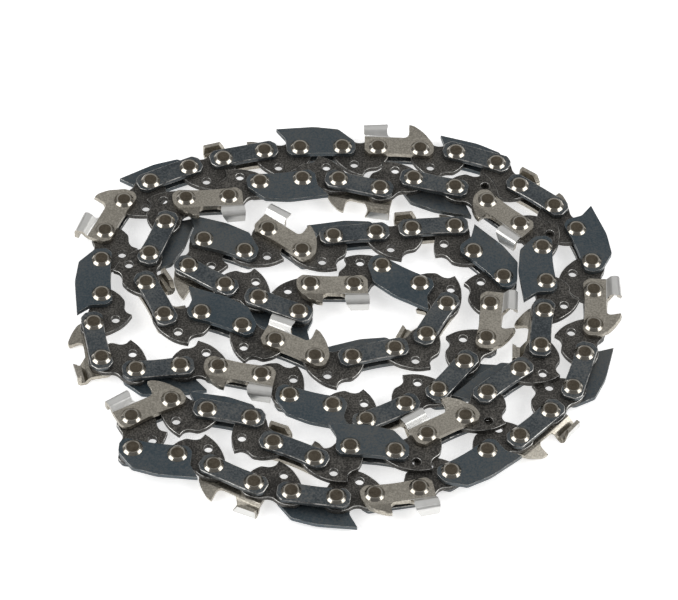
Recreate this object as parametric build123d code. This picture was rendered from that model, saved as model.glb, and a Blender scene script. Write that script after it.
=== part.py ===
from build123d import *
import os
import numpy as np

# Chainsaw chain, low-profile 3/8 inch, lying on its side as a closed loop that is folded double and coiled.
# Millimetres. +Z is up, along the rivets. Origin at the bottom centre of the laid loop.
# A link's own frame: x along the travel, y towards the cutting side, z = 0 at the link's middle plane.
# Right-hand plates are on the +Z side. The rivets are solid with the plates and links that they join.

# Chain
pitches = 52                # drive links in the loop, a multiple of the four-pitch pattern
drive_span = 8.55           # rivet spacing in a drive link
plate_span = 10.08          # rivet spacing in a side plate
gauge = 1.3                 # drive link thickness
play = 0.12                 # free space between a drive link and each side plate
plate_t = 1.15              # side plate thickness
kerf = 6.4                  # width over the left and right cutters
head_d = 4.7                # rivet head
head_rise = 0.6
head_sides = 8

# Drive link
lobe_r = 3.1                # lobe round each rivet
saddle_y = 1.9              # dip between the lobes
tang_depth = 8.0            # tang tip below the rivet line
tang_tip_x = 4.7            # tang tip ahead of the rear rivet
tang_heel_x = -1.4          # where the trailing edge leaves the rear lobe
tang_toe_x = 9.8            # where the leading edge leaves the front lobe
hook_x = 5.6                # inner corner of the hook ahead of the tip
oil_hole_d = 2.0
oil_hole_x = 2.8
oil_hole_y = -4.5

# Side plates
plate_top = 2.7             # upper edge above the rivet line
plate_bottom = 2.45         # lower edge below the rivet line
plate_end = 3.2             # plate beyond each rivet
end_chamfer = 1.2

# Bumper strap
hump_height = 6.2
hump_back = 5.5             # pointed corner behind the rear rivet
hump_front = 0.8            # front shoulder, back from the front rivet

# Cutter
fold_y = 3.0                # fold line and gullet floor above the rivet line
tooth_height = 6.6          # top plate above the rivet line
tooth_back = 3.6            # heel behind the rear rivet
tooth_length = 5.8
tooth_slope = 4.0           # degrees that the top plate falls towards the heel
tooth_bevel = 0.7           # folded corner between tooth side and top plate
edge_angle = 25.0           # degrees that the cutting edge slants across the top plate
depth_setting = 0.5         # depth gauge below the top plate
depth_gauge_x = 7.3         # upright rear edge of the depth gauge
depth_gauge_lean = 1.0      # lean of its tip towards the outside

# Lie of the loop: the direction of each link, degrees anticlockwise from +X, read from the photograph
drive_heading = [
    35, 10, 5, 5, 0, -50, -60, -80, -110, -135, -145, -150, -180, 165, 165, 105, -10, -60,
    -5, 25, 55, 55, 85, 130, 160, -155, -175, -155, -125, -90, 15, -35, -5, 40, 145, -100,
    -115, 145, 75, 60, 25, 5, -60, -85, -135, -145, 155, 135, 175, 170, 80, 80]
plate_heading = [           # of the side plates that follow each drive link
    40, 25, 10, 0, -20, -30, -70, -90, -100, -130, -140, -160, 175, 155, 165, 20, -5, -20,
    20, 35, 40, 95, 90, 135, 170, 165, -160, -175, -105, -55, -20, -15, 20, 75, 160, 165,
    160, 165, -20, -30, 5, 30, -60, -90, -130, -150, 165, 175, -170, 105, 95, 80]
strand_gap = 0.15           # least gap kept between links of neighbouring strands
push_rounds = 2400          # rounds of pushing strands apart
home_pull = 0.015            # share of a link's drift that a round takes back, fading to none
tang_gap = 0.1              # gap where the second strand's tangs lie over the outer strand's
climb_links = (24, 36)      # links over which the loop climbs on to the outer strand's tangs
descend_links = (58, 70)    # links over which it comes down again

# Values that follow
links = 2 * pitches
inner_z = gauge / 2 + play
outer_z = inner_z + plate_t
side_z = kerf / 2
plate_front = plate_span + plate_end
tooth_front = tooth_length - tooth_back
depth_gauge_y = tooth_height - depth_setting
spans = np.array([drive_span, plate_span] * pitches)
lift = np.interp(range(links), climb_links + descend_links, (0, gauge + tang_gap, gauge + tang_gap, 0))
# Right-hand and left-hand plate of the pairs that follow the drive links
pattern = [("tie_strap", "bumper_strap"), ("tie_strap", "cutter"),
           ("bumper_strap", "tie_strap"), ("cutter", "tie_strap")]


def drive_outline():
    """Two lobes with a dip between them, and the tang: hook, tip and convex trailing edge."""
    rear = [(lobe_r * np.cos(a), lobe_r * np.sin(a)) for a in np.radians((192, 141, 90))]
    front = [(drive_span - x, y) for x, y in reversed(rear)]
    tang = [(tang_toe_x, -0.52 * tang_depth), (0.86 * tang_toe_x, -0.69 * tang_depth),
            (hook_x, -0.75 * tang_depth), (tang_tip_x, -tang_depth),
            (0.34 * tang_tip_x, -0.85 * tang_depth), (tang_heel_x, -0.45 * tang_depth)]
    return rear + [(drive_span / 2, saddle_y)] + front + tang


def lower_edge():
    """Lower edge of a side plate with its chamfered ends, rear to front."""
    return [(-plate_end, end_chamfer - plate_bottom), (end_chamfer - plate_end, -plate_bottom),
            (plate_front - end_chamfer, -plate_bottom), (plate_front, end_chamfer - plate_bottom)]


def strap_outline():
    return lower_edge() + [(plate_front, plate_top - end_chamfer), (plate_front - end_chamfer, plate_top),
                           (end_chamfer - plate_end, plate_top), (-plate_end, plate_top - end_chamfer)]


def bumper_outline():
    shoulder_x = plate_span - hump_front
    return lower_edge() + [(plate_front, plate_top - end_chamfer), (shoulder_x, 0.86 * hump_height),
                           (0.4 * shoulder_x, hump_height), (-hump_back, 0.92 * hump_height),
                           (-plate_end, plate_top)]


def base_outline():
    """Flat part of a cutter, up to the fold."""
    return lower_edge() + [(plate_front, plate_top - end_chamfer), (plate_front - end_chamfer, fold_y),
                           (-plate_end, fold_y)]


def prism(outline, low, high):
    face = make_face(Polyline(*outline, close=True))
    return extrude(Pos(0, 0, low) * face, high - low, dir=(0, 0, 1))


def bent_strip(x, section, length, direction):
    """Bent sheet with its section, of y and z, at one x."""
    face = make_face(Polyline(*[(x, y, z) for y, z in section], close=True))
    return extrude(face, length, dir=direction)


def tooth():
    """Side folded out to the kerf and over into the top plate, which falls back from a slanting edge."""
    rise = side_z - outer_z
    section = [(fold_y, inner_z), (fold_y, outer_z), (fold_y + rise, side_z),
               (tooth_height - tooth_bevel, side_z), (tooth_height, side_z - tooth_bevel),
               (tooth_height, 0), (tooth_height - plate_t, 0), (tooth_height - plate_t, side_z - plate_t)]
    slope = np.radians(tooth_slope)
    back = (-np.cos(slope), -np.sin(slope), 0)
    block = bent_strip(tooth_front, section, tooth_length / np.cos(slope), back)
    slant = np.tan(np.radians(edge_angle))
    edge = Plane((tooth_front, 0, side_z), x_dir=(0, 1, 0), z_dir=(1, 0, -slant))
    return split(block, edge, keep=Keep.BOTTOM)


def depth_gauge():
    """Fin that leans out from the fold, with an upright rear edge and a sloping back."""
    tip_y = depth_gauge_y
    section = [(fold_y, inner_z), (fold_y, outer_z),
               (tip_y, outer_z + depth_gauge_lean), (tip_y, inner_z + depth_gauge_lean)]
    foot_x = plate_front - end_chamfer
    strip = bent_strip(depth_gauge_x, section, foot_x - depth_gauge_x, (1, 0, 0))
    fin = [(depth_gauge_x, fold_y), (foot_x, fold_y), (foot_x - end_chamfer, 0.6 * fold_y + 0.4 * tip_y),
           (1.04 * depth_gauge_x, tip_y)]
    return strip & prism(fin, 0, outer_z + depth_gauge_lean)


def side_plate(kind):
    """Right-hand side plate with its two rivet heads."""
    if kind == "cutter":
        plate = prism(base_outline(), inner_z, outer_z) + tooth() + depth_gauge()
    elif kind == "bumper_strap":
        plate = prism(bumper_outline(), inner_z, outer_z)
    else:
        plate = prism(strap_outline(), inner_z, outer_z)
    head = loft([Pos(0, 0, outer_z) * RegularPolygon(head_d / 2, head_sides),
                 Vertex(0, 0, outer_z + head_rise)])
    return plate + head + Pos(plate_span, 0, 0) * head


def drive_link():
    hole = Pos(oil_hole_x, oil_hole_y, -gauge / 2) * RegularPolygon(oil_hole_d / 2, 6)
    return prism(drive_outline(), -gauge / 2, gauge / 2) - extrude(hole, gauge)


def row(x0, x1, y, radius, count):
    return [(x, y, radius) for x in np.linspace(x0, x1, count)]


def footprint(kind):
    """Discs that cover a link's outline, as bands of lowest z, highest z and (x, y, radius)."""
    if kind == "drive_link":
        tang = [(0.319 * tang_tip_x, -0.52 * tang_depth, 0.37 * tang_depth),
                (0.755 * tang_toe_x, -0.38 * tang_depth, 0.36 * tang_depth),
                (0.936 * tang_tip_x, -0.81 * tang_depth, 0.2 * tang_depth)]
        lobes = row(0, drive_span, 0, lobe_r, 2)
        waist = row(0.28 * drive_span, 0.72 * drive_span, 0, 0.78 * lobe_r, 2)
        return [(-gauge / 2, gauge / 2, lobes + waist + tang)]
    end_r = np.hypot(plate_end, plate_top - end_chamfer)
    discs = row(0, plate_span, 0, end_r, 2) + [(plate_span / 2, 0, plate_top)]
    bands = [(outer_z, outer_z + head_rise, row(0, plate_span, 0, head_d / 2, 2))]
    if kind == "bumper_strap":
        discs += row(-0.782 * hump_back, -0.509 * hump_back, 0.79 * hump_height, 0.21 * hump_height, 2)
        discs += row(-0.24 * hump_back, 0.851 * plate_span, 0.57 * hump_height, 0.43 * hump_height, 6)
    if kind == "cutter":
        half = (tooth_height - fold_y) / 2
        fin = [(1.164 * depth_gauge_x, 0.754 * depth_gauge_y, 0.279 * depth_gauge_y),
               (0.797 * plate_front, 0.733 * fold_y, 0.8 * fold_y)]
        discs += [(-0.656 * plate_end, 0.633 * fold_y, 0.433 * fold_y)]
        bands += [(inner_z, side_z, row(half - tooth_back, tooth_front - half, tooth_height - half, half, 3)),
                  (0, side_z, row(-0.75 * tooth_back, 0.59 * tooth_front, 0.8485 * tooth_height, 0.957 * plate_t, 4)),
                  (inner_z, outer_z + depth_gauge_lean, fin)]
    return bands + [(inner_z, outer_z, discs)]


def all_discs():
    """One row for each disc in the loop: link, x, y, radius, lowest z, highest z."""
    rows = []
    for i in range(pitches):
        right, left = pattern[i % len(pattern)]
        for link, kind, side in ((2 * i, "drive_link", 1), (2 * i + 1, right, 1), (2 * i + 1, left, -1)):
            for low, high, discs in footprint(kind):
                ends = sorted((side * low, side * high))
                rows += [(link, *disc, ends[0] + lift[link], ends[1] + lift[link]) for disc in discs]
    return np.array(rows)


def pull_to_length(pivots, rounds):
    """Moves pivots until each link has its own length, in a closed loop."""
    for _ in range(rounds):
        gap = np.roll(pivots, -1, 0) - pivots
        length = np.linalg.norm(gap, axis=1)
        shift = gap * ((length - spans) / length * 0.25)[:, None]
        pivots = pivots + shift - np.roll(shift, 1, 0)
    return pivots


def turned(vectors):
    """Vectors turned a quarter to the left."""
    return np.stack([-vectors[:, 1], vectors[:, 0]], 1)


def lay():
    """Rear pivot of each link: laid along the headings, closed up, and pushed clear of other strands.

    While links are pushed, they are drawn back towards where the headings put them.
    """
    heading = np.radians(np.ravel(list(zip(drive_heading, plate_heading))))
    steps = np.stack([np.cos(heading), np.sin(heading)], 1) * spans[:, None]
    home = pull_to_length(np.cumsum(steps, 0) - steps, 5000)
    pivots = home.copy()
    link, x, y, radius, low, high = all_discs().T
    link = link.astype(int)
    after = (link + 1) % links
    share = (x / spans[link])[:, None]
    lever = (y / spans[link])[:, None]
    weight = ((1 - share) ** 2 + share ** 2 + 2 * lever ** 2)[:, 0]

    def places():
        along = (pivots[after] - pivots[link]) / spans[link][:, None]
        return pivots[link] + x[:, None] * along + y[:, None] * turned(along)

    start = places()
    same_height = np.minimum.outer(high, high) - np.maximum.outer(low, low) > play / 2
    near = np.linalg.norm(start[:, None] - start, axis=2) < 3 * plate_span
    first, second = np.nonzero(np.triu(same_height & near & (link[:, None] != link)))
    room = radius[first] + radius[second] + strand_gap
    ease = 0.5 / (weight[first] + weight[second])
    for pull in np.maximum(np.linspace(home_pull, -0.43 * home_pull, push_rounds), 0):
        spots = places()
        apart = spots[first] - spots[second]
        distance = np.linalg.norm(apart, axis=1)
        close = np.nonzero(distance < room)[0]
        push = apart[close] * ((room - distance) / distance * ease)[close][:, None]
        for disc, way in ((first[close], push), (second[close], -push)):
            swing = turned(way) * lever[disc]
            np.add.at(pivots, link[disc], way * (1 - share[disc]) + swing)
            np.add.at(pivots, after[disc], way * share[disc] - swing)
        pivots = pull_to_length(pivots + pull * (home - pivots), 8)
    return pull_to_length(pivots, 3000)


def place(solid, pivots, link):
    ahead = pivots[(link + 1) % links] - pivots[link]
    spot = (pivots[link][0], pivots[link][1], lift[link])
    return Location(spot, (0, 0, np.degrees(np.arctan2(ahead[1], ahead[0])))) * solid


def chain():
    """Solids of each node, by name."""
    pivots = lay()
    kinds = sorted({kind for pair in pattern for kind in pair})
    shapes = {(kind, "right"): side_plate(kind) for kind in kinds}
    shapes |= {(kind, "left"): mirror(shape, about=Plane.XY) for (kind, _), shape in shapes.items()}
    drive = drive_link()
    nodes = {"drive_links": [], "tie_straps_right": [], "tie_straps_left": []}
    for i in range(pitches):
        nodes["drive_links"].append(place(drive, pivots, 2 * i))
        for kind, side in zip(pattern[i % len(pattern)], ("right", "left")):
            name = f"tie_straps_{side}" if kind == "tie_strap" else f"{kind}_{side}_{i + 1:02d}"
            nodes.setdefault(name, []).append(place(shapes[kind, side], pivots, 2 * i + 1))
    return nodes


def main():
    nodes = chain()
    box = Compound([solid for solids in nodes.values() for solid in solids]).bounding_box()
    to_origin = Pos(-box.center().X, -box.center().Y, -box.min.Z)
    os.makedirs("parts", exist_ok=True)
    for name, solids in nodes.items():
        moved = [to_origin * solid for solid in solids]
        export_step(moved[0] if len(moved) == 1 else Compound(moved), f"parts/{name}.step")
    print(f"{len(nodes)} nodes, {box.size.X:.2f} x {box.size.Y:.2f} x {box.size.Z:.2f} mm, "
          f"moved by {to_origin.position}")


main()
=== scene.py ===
import bpy
import bmesh
from math import radians, sin, cos, tan, pi
from mathutils import Matrix, Vector


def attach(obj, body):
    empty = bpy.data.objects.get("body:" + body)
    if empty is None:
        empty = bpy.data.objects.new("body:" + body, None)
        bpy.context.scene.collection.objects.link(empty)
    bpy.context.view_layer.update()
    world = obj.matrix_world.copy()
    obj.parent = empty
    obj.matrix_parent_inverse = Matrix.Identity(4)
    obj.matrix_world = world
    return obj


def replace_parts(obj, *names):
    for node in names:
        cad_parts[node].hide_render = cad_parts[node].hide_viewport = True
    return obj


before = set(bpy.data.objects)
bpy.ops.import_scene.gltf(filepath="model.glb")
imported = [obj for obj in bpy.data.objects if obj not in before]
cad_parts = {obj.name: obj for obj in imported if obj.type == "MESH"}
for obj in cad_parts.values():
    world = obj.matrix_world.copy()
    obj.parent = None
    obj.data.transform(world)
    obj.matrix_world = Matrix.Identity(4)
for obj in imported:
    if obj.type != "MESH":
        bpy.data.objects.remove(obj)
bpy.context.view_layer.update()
print("frame loaded,", len(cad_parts), "nodes")

mmPerMetre = 1000

# sizes in mm, in a link's own frame: x along the travel, y to the cutting side, z up from its middle plane
chain = {"pitches": 52, "plateSpan": 10.08, "gauge": 1.3, "inner": 0.77, "outer": 1.92,
         "kerfSide": 3.2, "headTop": 2.52, "sameLevel": 0.01}


# where the links lie, read from the cutters and bumper straps of the frame

def findNode(number):
    return next(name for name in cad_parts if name.endswith(f"_{number:02d}"))


def turnTo(way):
    return Matrix.Rotation(-Vector((1, 0)).angle_signed(way.xy), 4, "Z")


def plateLie(number):
    name = findNode(number)
    spots = [vert.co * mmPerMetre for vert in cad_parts[name].data.vertices]
    side = 1 if "_right_" in name else -1
    nearMid = min(spot.z * side for spot in spots) * side
    middle = nearMid if "cutter" in name else nearMid - side * chain["inner"]
    headTop = middle + side * chain["headTop"]
    tops = [spot for spot in spots if abs(spot.z - headTop) < chain["sameLevel"]]
    first = tops[0]
    second = max(tops, key=lambda top: (top - first).length)
    bulk = sum(spots, Vector()) / len(spots) - (first + second) / 2
    along = (second - first).normalized()
    if along.x * bulk.y - along.y * bulk.x < 0:  # the hump or tooth is on the left of the travel
        along = -along
        first, second = second, first
    return {"rear": first, "front": second, "middle": middle, "turn": turnTo(along)}


def driveLie(behind, ahead):
    return {"rear": behind["front"], "middle": (behind["middle"] + ahead["middle"]) / 2,
            "turn": turnTo(ahead["rear"] - behind["front"])}


def linkMatrix(lie):
    return Matrix.Translation((lie["rear"].x, lie["rear"].y, lie["middle"])) @ lie["turn"]


plateLies = [plateLie(number) for number in range(1, chain["pitches"] + 1)]
driveLies = [driveLie(plateLies[index - 1], plateLies[index]) for index in range(chain["pitches"])]
print("links placed")


# stamping and turning that the link shapes share
stamping = {"roundingSteps": 4, "meetWithin": 0.02, "weldWithin": 0.001}
edgeSlot, dishSlot, toothSlot = 1, 1, 2  # material slots beside a piece's main finish


def stampOutline(bm, corners, height):
    verts = [bm.verts.new((x, y, height)) for x, y, _ in corners]
    bm.faces.new(verts)
    for vert, (_, _, rounding) in zip(verts, corners):
        bmesh.ops.bevel(bm, geom=[vert], offset=rounding, offset_type="OFFSET", affect="VERTICES",
                        segments=stamping["roundingSteps"], profile=0.5, material=-1, clamp_overlap=True)
    bmesh.ops.remove_doubles(bm, verts=bm.verts[:], dist=stamping["meetWithin"])  # where two roundings meet


def extrudeSheet(bm):
    made = bmesh.ops.extrude_face_region(bm, geom=bm.faces[:])
    return [item for item in made["geom"] if isinstance(item, bmesh.types.BMVert)]


def thicken(bm, thickness):
    bmesh.ops.translate(bm, verts=extrudeSheet(bm), vec=(0, 0, thickness))
    bmesh.ops.recalc_face_normals(bm, faces=bm.faces[:])


def breakEdges(bm, spec):
    edges = [edge for edge in bm.edges if edge.is_manifold and edge.calc_face_angle() > spec["sharpFrom"]]
    broken = bmesh.ops.bevel(bm, geom=edges, offset=spec["edgeBreak"], offset_type="OFFSET", affect="EDGES",
                             segments=spec["breakSteps"], profile=0.5, material=-1, clamp_overlap=True)
    # bevel faces take the edge finish, whose pale colour paints in an edge glint
    for face in broken["faces"]:
        face.material_index = edgeSlot


def spinSection(bm, section, steps):
    verts = [bm.verts.new((r, 0, z)) for r, z in section]
    edges = [bm.edges.new(pair) for pair in zip(verts, verts[1:])]
    bmesh.ops.spin(bm, geom=verts + edges, axis=(0, 0, 1), cent=(0, 0, 0), angle=2 * pi, steps=steps,
                   use_merge=True)
    bmesh.ops.remove_doubles(bm, verts=bm.verts[:], dist=stamping["weldWithin"])
    bmesh.ops.holes_fill(bm, edges=[edge for edge in bm.edges if edge.is_boundary], sides=0)
    bmesh.ops.recalc_face_normals(bm, faces=bm.faces[:])


def keepMesh(bm, name):
    openEdges = sum(not edge.is_manifold for edge in bm.edges)
    print("  ", name, len(bm.faces), "faces,", openEdges, "open edges")
    mesh = bpy.data.meshes.new(name)
    bm.to_mesh(mesh)
    bm.free()
    return mesh


# drive link: lobes, hooked tang, drilled oil hole; each corner is x, y and its rounding
driveLink = {"outline": [(-3.1, 0.3, 1.6), (-2.1, 2.75, 1.5), (1.6, 3.25, 1.3), (4.27, 1.75, 1.2),
                         (6.95, 3.25, 1.3), (10.65, 2.75, 1.5), (11.65, 0.3, 1.6), (10.9, -2.4, 1.0),
                         (9.8, -4.2, 0.5), (8.4, -5.55, 0.5), (6.2, -5.75, 0.7), (5.25, -6.6, 0.3),
                         (4.8, -8.0, 0.15), (1.7, -6.85, 1.6), (-1.4, -3.7, 1.4)],
             "edgeBreak": 0.13, "breakSteps": 2, "sharpFrom": 0.7,
             "hole": (2.8, -4.5, 1.0), "holeBreak": 0.12, "holeFlare": 0.5, "holeSteps": 14, "rimTilt": 0.3}


def makeDrill(spec):
    x, y, radius = spec["hole"]
    straight = chain["gauge"] / 2 - spec["holeBreak"]  # the drill widens past here and breaks the hole's rims
    wide, end = radius + spec["holeFlare"], straight + spec["holeFlare"]
    bm = bmesh.new()
    spinSection(bm, [(0, -end), (wide, -end), (radius, -straight), (radius, straight), (wide, end), (0, end)],
                spec["holeSteps"])
    # the hole's flared rims take the edge finish too, painted pale as a glint
    for face in bm.faces:
        if abs(face.normal.z) > spec["rimTilt"]:
            face.material_index = edgeSlot
    bmesh.ops.translate(bm, verts=bm.verts[:], vec=(x, y, 0))
    return keepMesh(bm, "drill")


def drillHole(plate, spec):
    blank = bpy.data.objects.new("blank", plate)
    drill = bpy.data.objects.new("drill", makeDrill(spec))
    for item in (blank, drill):
        bpy.context.scene.collection.objects.link(item)
    cut = blank.modifiers.new("oil hole", "BOOLEAN")
    cut.object = drill
    bm = bmesh.new()
    bm.from_object(blank, bpy.context.evaluated_depsgraph_get())
    for item in (blank, drill):
        bpy.data.objects.remove(item)
    return keepMesh(bm, "driveLink")


def makeDriveLink(spec):
    bm = bmesh.new()
    stampOutline(bm, spec["outline"], -chain["gauge"] / 2)
    thicken(bm, chain["gauge"])
    breakEdges(bm, spec)
    return drillHole(keepMesh(bm, "driveBlank"), spec)


# flat side plates
tieStrap = {"outline": [(-3.2, -1.15, 0.4), (-1.9, -2.45, 0.4), (5.04, -1.95, 3.0), (12.0, -2.45, 0.4),
                        (13.28, -1.15, 0.4), (13.28, 1.4, 0.4), (12.0, 2.7, 0.4), (-1.9, 2.7, 0.4),
                        (-3.2, 1.4, 0.4)],
            "edgeBreak": 0.16, "breakSteps": 2, "sharpFrom": 0.7}
bumperStrap = {"outline": [(-3.2, -1.15, 0.4), (-1.9, -2.45, 0.4), (5.04, -1.9, 3.0), (12.1, -2.45, 0.5),
                           (13.28, -1.1, 0.5), (13.1, 1.5, 0.5), (9.4, 5.3, 0.35), (3.6, 6.2, 0.9),
                           (-5.5, 5.7, 0.1), (-3.3, 2.5, 0.4)],
               "edgeBreak": 0.16, "breakSteps": 2, "sharpFrom": 0.7}


def makeFlatPlate(spec, name):
    bm = bmesh.new()
    stampOutline(bm, spec["outline"], chain["inner"])
    thicken(bm, chain["outer"] - chain["inner"])
    breakEdges(bm, spec)
    return keepMesh(bm, name)


# cutter: stamped flat, folded at the bend lines, then given its thickness
cutter = {"outline": [(-3.2, -1.15, 0.4), (-2.0, -2.45, 0.5), (5.04, -1.85, 3.0), (12.0, -2.45, 0.6),
                      (13.28, -1.2, 0.5), (13.25, 1.3, 0.8), (11.2, 4.3, 1.4), (8.4, 6.2, 0.6),
                      (7.3, 6.35, 0.12), (7.35, 2.95, 1.3), (2.2, 2.95, 0.9), (2.0, 4.6, 0.6),
                      (2.25, 5.95, 0.3), (1.7, 7.75, 0.5), (0.75, 9.78, 0.1), (-3.45, 9.78, 0.3),
                      (-3.6, 6.4, 0.8), (-3.25, 3.2, 0.8)],
          "edgeBreak": 0.11, "breakSteps": 1, "sharpFrom": 0.8,
          "foldStart": 2.75, "bend": 0.6, "crestBend": 1.1, "cornerBend": 1.15, "toothTop": 6.6,
          "bendSteps": 3, "cornerSteps": 5, "scoreWithin": 0.0005,
          "topSlope": 4.0, "sideTaper": 2.0, "taperRun": 3.0, "edgeX": 2.3,
          "gaugeLean": 18.0, "gaugeBend": 1.2, "gulletMid": 4.7,
          "sheet": 1.15, "toothSheet": 0.95, "thinAfter": 0.1,
          "filed": 0.55, "filedFrom": 3.6, "filedRun": 1.5, "spotDigits": 4}


def bendStations(spec):
    rise = chain["kerfSide"] - chain["outer"]
    bend, crest, corner = spec["bend"], spec["crestBend"], spec["cornerBend"]
    joggle = (rise - (bend + crest) * (1 - cos(pi / 4))) / sin(pi / 4)
    wallStart = spec["foldStart"] + (bend + crest) * sin(pi / 4) + joggle * cos(pi / 4)
    wall = spec["toothTop"] - corner - wallStart
    # length along the sheet, turn and steps of each bend or flat, from the base up and over
    return [(bend * pi / 4, pi / 4, spec["bendSteps"]), (joggle, 0, 1), (crest * pi / 4, -pi / 4, spec["bendSteps"]),
            (wall, 0, 1), (corner * pi / 2, -pi / 2, spec["cornerSteps"])]


def walkSection(spec, distance, stations):
    y, z, heading = spec["foldStart"], chain["outer"], 0.0
    for length, turn, _ in stations:
        step = min(distance, length)
        swing = turn * step / length
        if turn:
            radius = length / turn
            y += radius * (sin(heading + swing) - sin(heading))
            z += radius * (cos(heading) - cos(heading + swing))
        else:
            y += step * cos(heading)
            z += step * sin(heading)
        heading += swing
        distance -= step
    return y + distance * cos(heading), z + distance * sin(heading)


def scoreLines(bm, spec):
    reached = spec["foldStart"]
    cuts = [((0, reached, 0), (0, 1, 0)), ((spec["gulletMid"], 0, 0), (1, 0, 0))]
    for length, _, steps in bendStations(spec):
        cuts += [((0, reached + length * (step + 1) / steps, 0), (0, 1, 0)) for step in range(steps)]
        reached += length
    for place, way in cuts:
        bmesh.ops.bisect_plane(bm, geom=bm.verts[:] + bm.edges[:] + bm.faces[:], dist=spec["scoreWithin"],
                               plane_co=place, plane_no=way)


def foldSheet(bm, spec):
    lean = radians(spec["gaugeLean"])
    tooth, gauge = bendStations(spec), [(spec["gaugeBend"] * lean, lean, 1)]
    for vert in bm.verts:
        x, along = vert.co.x, vert.co.y - spec["foldStart"]
        vert.co.z = chain["outer"]
        if along > 0:
            isTooth = x < spec["gulletMid"]
            vert.co.y, vert.co.z = walkSection(spec, along, tooth if isTooth else gauge)
            if isTooth:  # the tooth falls back and narrows towards its heel
                share = min(1.0, along / spec["taperRun"])
                vert.co.y -= (spec["edgeX"] - x) * tan(radians(spec["topSlope"])) * share
                vert.co.z -= (spec["edgeX"] - x) * tan(radians(spec["sideTaper"])) * share


def makeCutter(spec):
    bm = bmesh.new()
    flat = bm.verts.layers.float_vector.new("flat")
    stampOutline(bm, spec["outline"], 0)
    scoreLines(bm, spec)
    for vert in bm.verts:
        vert[flat] = vert.co
    foldSheet(bm, spec)
    bmesh.ops.recalc_face_normals(bm, faces=bm.faces[:])
    if max(bm.faces, key=lambda face: face.calc_area()).normal.z < 0:
        bmesh.ops.reverse_faces(bm, faces=bm.faces[:])
    bm.normal_update()
    digits = spec["spotDigits"]
    inwards = {vert.co.to_tuple(digits): -vert.normal * vert.calc_shell_factor() for vert in bm.verts}
    inside = set(extrudeSheet(bm))
    for vert in inside:
        u, v, _ = vert[flat]
        isTooth = v > spec["foldStart"] + spec["thinAfter"] and u < spec["gulletMid"]
        vert.co += inwards[vert.co.to_tuple(digits)] * (spec["toothSheet"] if isTooth else spec["sheet"])
        if isTooth and u > 0:  # filed back under the cutting edge
            vert.co.x -= spec["filed"] * min(1.0, max(0.0, (v - spec["filedFrom"]) / spec["filedRun"]))
    bmesh.ops.recalc_face_normals(bm, faces=bm.faces[:])
    # the tooth's outer faces take the pale tooth chrome as a painted sheen; the faces inside keep the satin chrome
    for face in bm.faces:
        isTooth = all(vert[flat].y > spec["foldStart"] and vert[flat].x < spec["gulletMid"] for vert in face.verts)
        if isTooth and not any(vert in inside for vert in face.verts):
            face.material_index = toothSlot
    breakEdges(bm, spec)
    return keepMesh(bm, "cutter")


# rivet head, spun from its half section: sloped rim, dished centre
rivetHead = {"section": [(2.33, -0.03), (1.75, 0.54), (1.45, 0.44), (0.0, 0.22)], "steps": 16, "dish": 1.5}


def makeRivetHead(spec):
    bm = bmesh.new()
    spinSection(bm, [(r, z + chain["outer"]) for r, z in spec["section"]], spec["steps"])
    for face in bm.faces:
        if face.calc_center_median().xy.length < spec["dish"]:
            face.material_index = dishSlot
    return keepMesh(bm, "rivetHead")


shapes = {"drive_link": makeDriveLink(driveLink),
          "tie_strap": makeFlatPlate(tieStrap, "tieStrap"),
          "bumper_strap": makeFlatPlate(bumperStrap, "bumperStrap"),
          "cutter": makeCutter(cutter),
          "rivet": makeRivetHead(rivetHead)}
print("link shapes made")


# finishes, on Object coordinates in metres
steelNoise = {"detail": 3, "roughness": 0.6, "low": 0.3, "high": 0.7, "bumpDepth": 0.00005}


def addNoise(nodes, links, coord, scale):
    noise = nodes.new("ShaderNodeTexNoise")
    noise.inputs["Scale"].default_value = scale
    noise.inputs["Detail"].default_value = steelNoise["detail"]
    noise.inputs["Roughness"].default_value = steelNoise["roughness"]
    links.new(coord.outputs["Object"], noise.inputs["Vector"])
    return noise


def addRamp(nodes, links, source, stops):
    ramp = nodes.new("ShaderNodeValToRGB")
    marks = ramp.color_ramp.elements
    for mark, (place, colour) in zip((marks[0], marks[1]), (stops[0], stops[-1])):
        mark.position, mark.color = place, (*colour, 1)
    for place, colour in stops[1:-1]:
        marks.new(place).color = (*colour, 1)
    links.new(source, ramp.inputs["Fac"])
    return ramp


def addRange(nodes, links, source, low, high):
    spread = nodes.new("ShaderNodeMapRange")
    spread.inputs["From Min"].default_value = steelNoise["low"]
    spread.inputs["From Max"].default_value = steelNoise["high"]
    spread.inputs["To Min"].default_value = low
    spread.inputs["To Max"].default_value = high
    links.new(source, spread.inputs["Value"])
    return spread


def startMaterial(name):
    material = bpy.data.materials.new(name)
    material.use_nodes = True
    nodes, links = material.node_tree.nodes, material.node_tree.links
    return material, nodes, links, next(node for node in nodes if node.type == "BSDF_PRINCIPLED")


def makeSteel(name, look):
    steel, nodes, links, shader = startMaterial(name)
    coord = nodes.new("ShaderNodeTexCoord")
    broad = addNoise(nodes, links, coord, look["patch"])
    fine = addNoise(nodes, links, coord, look["grain"])
    tone = nodes.new("ShaderNodeMix")
    tone.inputs["Factor"].default_value = look["speckle"]
    links.new(broad.outputs["Fac"], tone.inputs["A"])
    links.new(fine.outputs["Fac"], tone.inputs["B"])
    colour = addRamp(nodes, links, tone.outputs["Result"], look["colours"])
    rough = addRange(nodes, links, fine.outputs["Fac"], *look["roughness"])
    bump = nodes.new("ShaderNodeBump")
    bump.inputs["Strength"].default_value = look["bump"]
    bump.inputs["Distance"].default_value = steelNoise["bumpDepth"]
    links.new(fine.outputs["Fac"], bump.inputs["Height"])
    links.new(colour.outputs["Color"], shader.inputs["Base Color"])
    links.new(rough.outputs["Result"], shader.inputs["Roughness"])
    links.new(bump.outputs["Normal"], shader.inputs["Normal"])
    shader.inputs["Metallic"].default_value = look["metallic"]
    return steel


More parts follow.
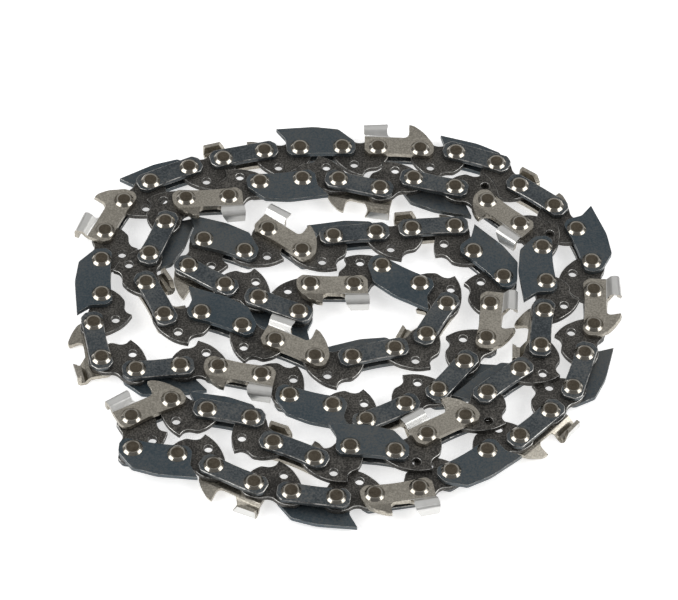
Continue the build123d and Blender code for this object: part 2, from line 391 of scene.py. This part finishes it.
bluedStrap = {"patch": 120, "grain": 2200, "speckle": 0.6, "roughness": (0.3, 0.5), "bump": 0.12, "metallic": 0.7,
              "colours": [(0.4, (0.05, 0.059, 0.066)), (0.5, (0.09, 0.104, 0.113)), (0.6, (0.145, 0.15, 0.147))]}
bluedBumper = {"patch": 28, "grain": 2200, "speckle": 0.5, "roughness": (0.3, 0.46), "bump": 0.1, "metallic": 0.7,
               "colours": [(0.4, (0.055, 0.078, 0.094)), (0.5, (0.09, 0.108, 0.12)), (0.6, (0.124, 0.13, 0.128))]}
tumbledSteel = {"patch": 160, "grain": 2600, "speckle": 0.75, "roughness": (0.36, 0.56), "bump": 0.25,
                "metallic": 0.7,
                "colours": [(0.4, (0.036, 0.034, 0.031)), (0.5, (0.074, 0.07, 0.064)), (0.6, (0.16, 0.151, 0.136))]}
satinChrome = {"patch": 90, "grain": 2600, "speckle": 0.8, "roughness": (0.29, 0.4), "bump": 0.1, "metallic": 1.0,
               "colours": [(0.41, (0.34, 0.315, 0.268)), (0.59, (0.54, 0.505, 0.437))]}
# tooth chrome, pale and part diffuse: real chrome, painted bright to stand in for the white reflection the tooth's
# plates catch
toothChromePaintedBright = {"patch": 90, "grain": 900, "speckle": 0.35, "roughness": (0.29, 0.37), "bump": 0.02, "metallic": 0.75,
              "colours": [(0.36, (0.72, 0.715, 0.69)), (0.62, (0.8, 0.795, 0.775))]}
polishedRim = {"patch": 300, "grain": 2500, "speckle": 0.5, "roughness": (0.13, 0.22), "bump": 0.02, "metallic": 1.0,
               "colours": [(0.36, (0.36, 0.335, 0.29)), (0.62, (0.47, 0.44, 0.39))]}
peenedCentre = {"patch": 500, "grain": 2200, "speckle": 0.6, "roughness": (0.29, 0.44), "bump": 0.2, "metallic": 0.95,
                "colours": [(0.36, (0.082, 0.068, 0.05)), (0.64, (0.158, 0.134, 0.101))]}
# edge bevels: patchy wear, with the pale patches also painting in the glint that plate edges catch
wornEdgeWithPaintedGlint = {"patch": 350, "grain": 2500, "speckle": 0.3, "roughness": (0.29, 0.42), "bump": 0.05, "metallic": 0.95,
            "colours": [(0.42, (0.1, 0.1, 0.1)), (0.58, (0.68, 0.67, 0.64))]}
# cutter bevels painted paler than the chrome faces: a painted edge glint
paintedGlintEdge = {"patch": 300, "grain": 2500, "speckle": 0.5, "roughness": (0.29, 0.38), "bump": 0.05, "metallic": 1.0,
              "colours": [(0.36, (0.6, 0.58, 0.53)), (0.62, (0.8, 0.78, 0.73))]}
finishes = {"tie_strap": makeSteel("blued strap steel", bluedStrap),
            "bumper_strap": makeSteel("blued bumper steel", bluedBumper),
            "drive_link": makeSteel("tumbled link steel", tumbledSteel),
            "cutter": makeSteel("satin chrome", satinChrome),
            "rivet": makeSteel("polished rivet rim", polishedRim)}
edgeWearAndGlint = makeSteel("worn edge with painted glint", wornEdgeWithPaintedGlint)
cutterEdgeGlint = makeSteel("bright edge, painted glint", paintedGlintEdge)
rivetCentre = makeSteel("peened rivet centre", peenedCentre)
# tooth material: chrome with a painted sheen
toothChromeWithPaintedSheen = makeSteel("tooth chrome with painted sheen", toothChromePaintedBright)
print("finishes made")


# pieces: what lies on the upper and lower side of each pitch, repeated round the loop
pattern = [("tie_strap", "bumper_strap"), ("tie_strap", "cutter"), ("bumper_strap", "tie_strap"),
           ("cutter", "tie_strap")]
sharpAngle = 46  # degrees, past which shading breaks


def layShape(bm, shape, matrix, flip):
    copy = shapes[shape].copy()
    copy.transform(matrix @ Matrix.Diagonal((1, 1, -1, 1)) if flip else matrix)
    if flip:
        copy.flip_normals()
    bm.from_mesh(copy)
    bpy.data.meshes.remove(copy)


def makePiece(name, bm, kind, edge):
    bmesh.ops.scale(bm, vec=(1 / mmPerMetre,) * 3, verts=bm.verts[:])
    mesh = keepMesh(bm, name)
    mesh.materials.append(finishes[kind])
    mesh.materials.append(edge)
    if kind == "cutter":
        mesh.materials.append(toothChromeWithPaintedSheen)
    for polygon in mesh.polygons:
        polygon.use_smooth = True
    mesh.set_sharp_from_angle(angle=radians(sharpAngle))
    piece = bpy.data.objects.new(name, mesh)
    bpy.context.scene.collection.objects.link(piece)
    if kind != "rivet":
        flats = piece.modifiers.new("flats stay flat", "WEIGHTED_NORMAL")
        flats.keep_sharp = True
    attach(piece, "root")
    return piece


straps = {"right": bmesh.new(), "left": bmesh.new()}
rivets = bmesh.new()
for index, lie in enumerate(plateLies):
    matrix = linkMatrix(lie)
    for kind, side in zip(pattern[index % len(pattern)], ("right", "left")):
        flip = side == "left"
        for span in (0, chain["plateSpan"]):
            layShape(rivets, "rivet", matrix @ Matrix.Translation((span, 0, 0)), flip)
        if kind == "tie_strap":
            layShape(straps[side], kind, matrix, flip)
        else:
            bm = bmesh.new()
            layShape(bm, kind, matrix, flip)
            node = findNode(index + 1)
            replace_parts(makePiece(node + "_made", bm, kind, cutterEdgeGlint if kind == "cutter" else edgeWearAndGlint), node)
for side, bm in straps.items():
    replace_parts(makePiece(f"tie_straps_{side}_made", bm, "tie_strap", edgeWearAndGlint), f"tie_straps_{side}")
drives = bmesh.new()
for lie in driveLies:
    layShape(drives, "drive_link", linkMatrix(lie), False)
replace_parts(makePiece("drive_links_made", drives, "drive_link", edgeWearAndGlint), "drive_links")
makePiece("rivet_heads", rivets, "rivet", rivetCentre)
print("pieces made")


# floor, light and camera; the camera's distance and aim are in mm, the rest in metres and degrees
studio = {"floorSize": 3.0, "floorColour": (0.9, 0.9, 0.9, 1), "floorRoughness": 0.9, "floorGlow": 0.6, "world": 0.2}
softboxes = [{"azimuth": -68, "height": 36, "distance": 0.6, "size": 0.45, "power": 2.0},
             {"azimuth": 82, "height": 36, "distance": 0.6, "size": 0.45, "power": 2.0},
             {"azimuth": 180, "height": 55, "distance": 0.9, "size": 1.1, "power": 1.2}]
view = {"focalPx": 3565.87, "width": 678, "sensor": 36, "clip": (0.05, 20), "elevation": 52.39, "roll": 2.7337,
        "distance": 821.33, "aim": (-1.47, 3.32, 5.72)}
white = (1, 1, 1, 1)

floor = bpy.data.objects.new("floor", bpy.data.meshes.new("floor"))
bm = bmesh.new()
bmesh.ops.create_grid(bm, x_segments=1, y_segments=1, size=studio["floorSize"])
bm.to_mesh(floor.data)
bm.free()
bpy.context.scene.collection.objects.link(floor)
paper, nodes, links, shader = startMaterial("white paper")
shader.inputs["Base Color"].default_value = studio["floorColour"]
shader.inputs["Roughness"].default_value = studio["floorRoughness"]
shader.inputs["Emission Color"].default_value = white
path = nodes.new("ShaderNodeLightPath")
seen = path.outputs["Is Camera Ray"]
for ray in ("Is Glossy Ray", "Is Transmission Ray"):
    either = nodes.new("ShaderNodeMath")
    either.operation = "MAXIMUM"
    links.new(seen, either.inputs[0])
    links.new(path.outputs[ray], either.inputs[1])
    seen = either.outputs[0]
glow = nodes.new("ShaderNodeMath")
glow.operation = "MULTIPLY"
glow.inputs[1].default_value = studio["floorGlow"]
links.new(seen, glow.inputs[0])
links.new(glow.outputs[0], shader.inputs["Emission Strength"])
floor.data.materials.append(paper)

world = bpy.data.worlds.new("studio")
bpy.context.scene.world = world
world.use_nodes = True
sky = world.node_tree.nodes["Background"]
sky.inputs["Color"].default_value = white
sky.inputs["Strength"].default_value = studio["world"]

for box in softboxes:
    lamp = bpy.data.lights.new("softbox", "AREA")
    lamp.shape = "SQUARE"
    lamp.size = box["size"]
    lamp.energy = box["power"]
    holder = bpy.data.objects.new("softbox", lamp)
    around, above = radians(box["azimuth"]), radians(box["height"])
    holder.location = Vector((sin(around) * cos(above), -cos(around) * cos(above), sin(above))) * box["distance"]
    holder.rotation_euler = (-holder.location).to_track_quat("-Z", "Y").to_euler()
    bpy.context.scene.collection.objects.link(holder)

tilt, roll = radians(view["elevation"]), radians(view["roll"])
right, up, back = Vector((1, 0, 0)), Vector((0, sin(tilt), cos(tilt))), Vector((0, -cos(tilt), sin(tilt)))
rolledRight = right * cos(roll) + up * sin(roll)
rolledUp = up * cos(roll) - right * sin(roll)
camera = bpy.data.objects.new("camera", bpy.data.cameras.new("camera"))
camera.data.sensor_width = view["sensor"]
camera.data.lens = view["focalPx"] * view["sensor"] / view["width"]
camera.data.clip_start, camera.data.clip_end = view["clip"]
spot = (Vector(view["aim"]) + back * view["distance"]) / mmPerMetre
camera.matrix_world = Matrix.Translation(spot) @ Matrix((rolledRight, rolledUp, back)).transposed().to_4x4()
bpy.context.scene.collection.objects.link(camera)
bpy.context.scene.camera = camera
bpy.context.scene.view_settings.view_transform = "Standard"
print("studio set")
